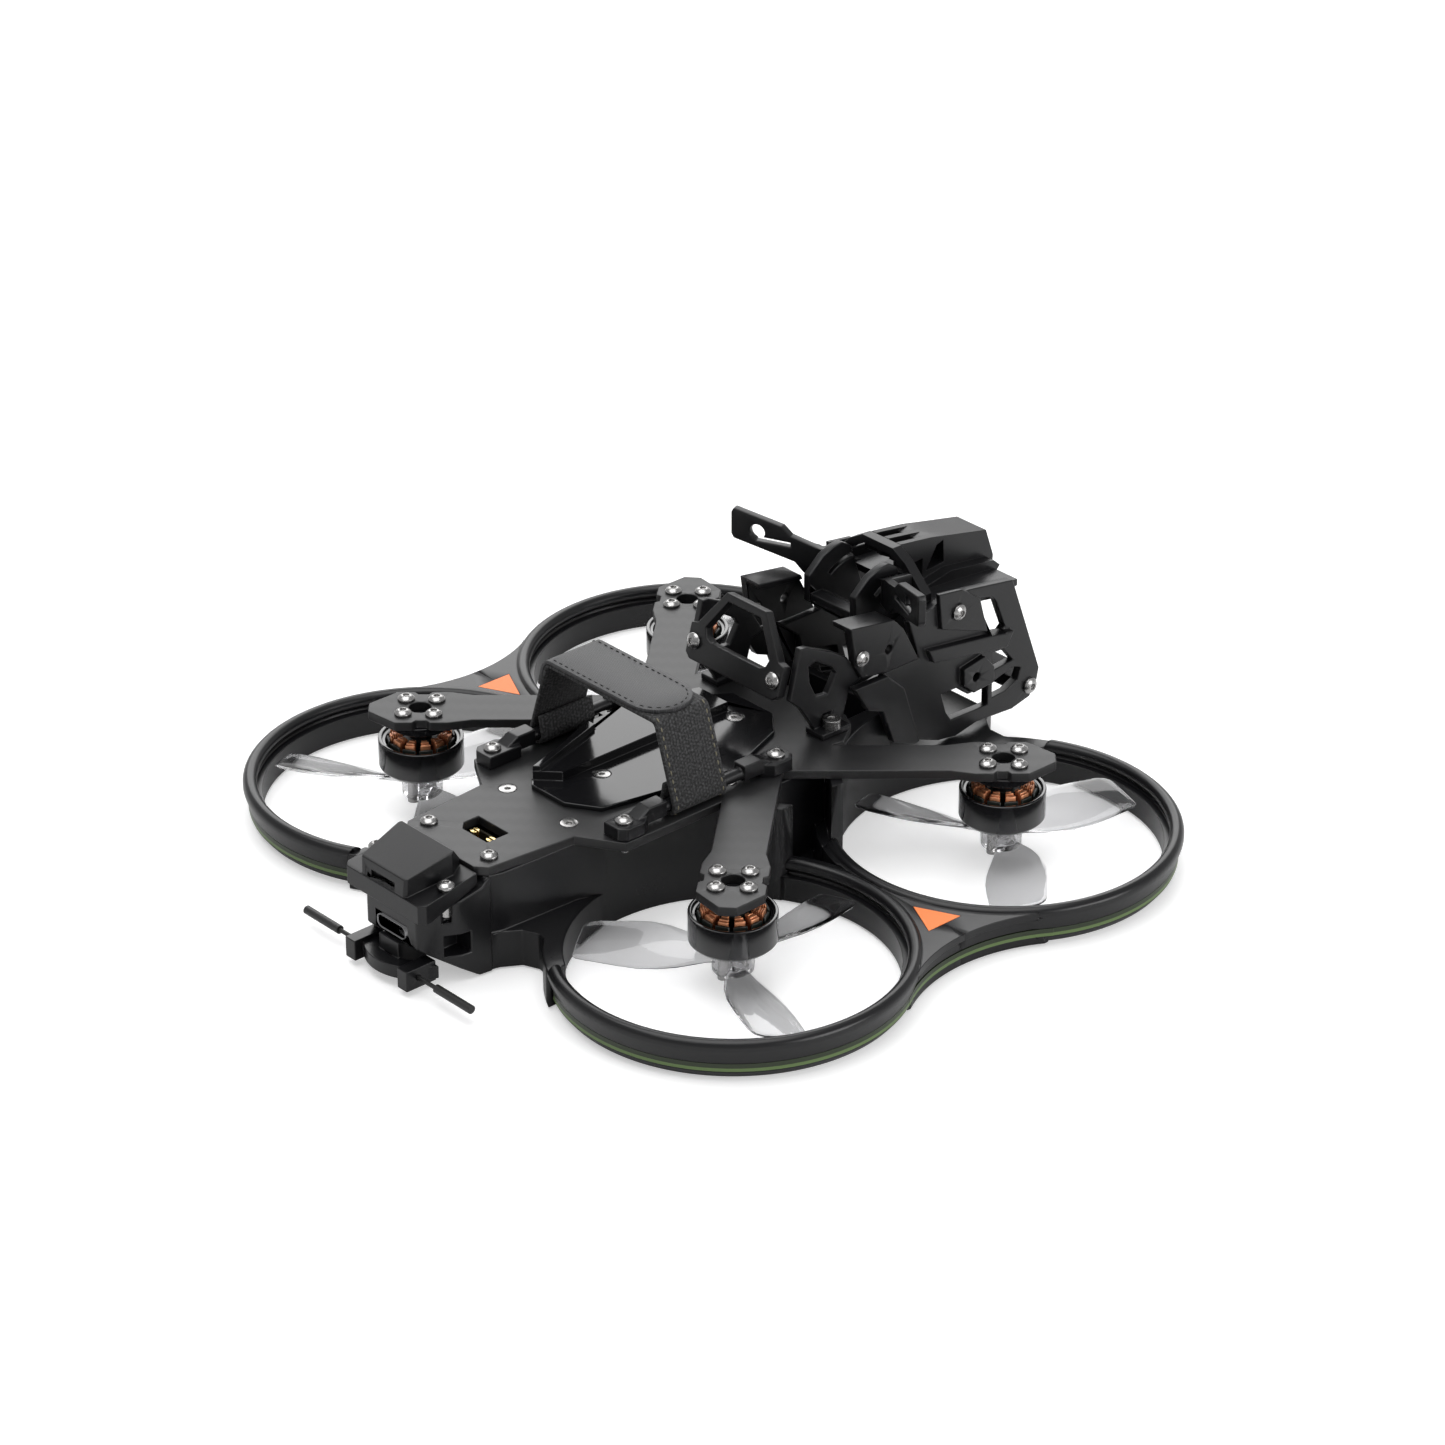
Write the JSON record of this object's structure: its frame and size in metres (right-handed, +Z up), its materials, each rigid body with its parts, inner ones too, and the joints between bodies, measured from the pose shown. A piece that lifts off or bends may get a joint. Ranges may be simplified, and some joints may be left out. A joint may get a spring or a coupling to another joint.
{
  "type": "ducted racing drone",
  "caption": "Ducted quadcopter with moulded ring ducts, carbon top plate, under-slung motors, battery strap and an empty camera cage.",
  "frame": {"origin": "midway between the four motor axes, on the plane that the fuselage and the ducts stand on", "axes": "+X towards the camera cage at the front, +Y to the left, +Z up"},
  "size_m": [0.1679, 0.1706, 0.0539],
  "materials": {
    "frame_plastic": "satin moulded plastic",
    "orange_insert": "matt",
    "light_strip": "milky diffuser",
    "carbon_plate": "satin carbon plate",
    "dark_plastic": "satin",
    "strap_webbing": "woven webbing",
    "socket_plastic": "moulded nylon",
    "contact_brass": "gold flash",
    "connector_steel": "pressed shell",
    "circuit_board": "solder mask",
    "standoff_brass": "turned",
    "capacitor_sleeve": "shrink sleeve",
    "antenna_rubber": "matt",
    "cage_plastic": "satin moulded plastic",
    "screw_steel": "polished",
    "motor_black": "black anodised",
    "winding_copper": "enamelled copper",
    "clear_blade": "clear polycarbonate"
  },
  "bodies": {
    "root": {"fuselage": "frame_plastic", "duct_front_left": "frame_plastic", "duct_front_right": "frame_plastic", "duct_rear_left": "frame_plastic", "duct_rear_right": "frame_plastic", "side_inserts": "orange_insert", "led_strips": "light_strip", "top_plate": "carbon_plate", "battery_tray": "dark_plastic", "strap_bars": "dark_plastic", "rear_cover": "dark_plastic", "antenna_mount": "dark_plastic", "battery_strap": "strap_webbing", "power_socket": "socket_plastic", "power_pins": "contact_brass", "usb_port": "connector_steel", "flight_controller": "circuit_board", "standoffs": "standoff_brass", "capacitor": "capacitor_sleeve", "antenna": "antenna_rubber", "cage_rear_frame": "cage_plastic", "cage_rail_left": "cage_plastic", "cage_rail_right": "cage_plastic", "cage_side_left": "cage_plastic", "cage_side_right": "cage_plastic", "cage_cap": "cage_plastic", "antenna_arms": "cage_plastic", "tilt_pins": "screw_steel", "cage_screws": "screw_steel", "plate_screws": "screw_steel", "bar_screws": "screw_steel", "motor_screws": "screw_steel", "cap_screws": "screw_steel", "motor_mount_front_left": "motor_black", "motor_mount_front_right": "motor_black", "motor_mount_rear_left": "motor_black", "motor_mount_rear_right": "motor_black", "stator_front_left": "winding_copper", "stator_front_right": "winding_copper", "stator_rear_left": "winding_copper", "stator_rear_right": "winding_copper"},
    "rotor_front_left": {"bell_front_left": "motor_black", "shaft_front_left": "screw_steel", "propeller_front_left": "clear_blade", "prop_screws_front_left": "screw_steel"},
    "rotor_front_right": {"bell_front_right": "motor_black", "shaft_front_right": "screw_steel", "propeller_front_right": "clear_blade", "prop_screws_front_right": "screw_steel"},
    "rotor_rear_left": {"bell_rear_left": "motor_black", "shaft_rear_left": "screw_steel", "propeller_rear_left": "clear_blade", "prop_screws_rear_left": "screw_steel"},
    "rotor_rear_right": {"bell_rear_right": "motor_black", "shaft_rear_right": "screw_steel", "propeller_rear_right": "clear_blade", "prop_screws_rear_right": "screw_steel"},
    "camera_cradle": {"camera_cradle": "cage_plastic"}
  },
  "joints": [
    {"name": "spin_front_left", "type": "hinge", "parent": "root", "child": "rotor_front_left", "pos_m": [0.037, 0.0481, 0.0095], "axis": [0, 0, 1], "continuous": true},
    {"name": "spin_front_right", "type": "hinge", "parent": "root", "child": "rotor_front_right", "pos_m": [0.037, -0.0481, 0.0095], "axis": [0, 0, 1], "continuous": true},
    {"name": "spin_rear_left", "type": "hinge", "parent": "root", "child": "rotor_rear_left", "pos_m": [-0.037, 0.0481, 0.0095], "axis": [0, 0, 1], "continuous": true},
    {"name": "spin_rear_right", "type": "hinge", "parent": "root", "child": "rotor_rear_right", "pos_m": [-0.037, -0.0481, 0.0095], "axis": [0, 0, 1], "continuous": true},
    {"name": "camera_tilt", "type": "hinge", "parent": "root", "child": "camera_cradle", "pos_m": [0.0463, 0, 0.035], "axis": [0, -1, 0], "range_deg": [0, 30]}
  ]
}
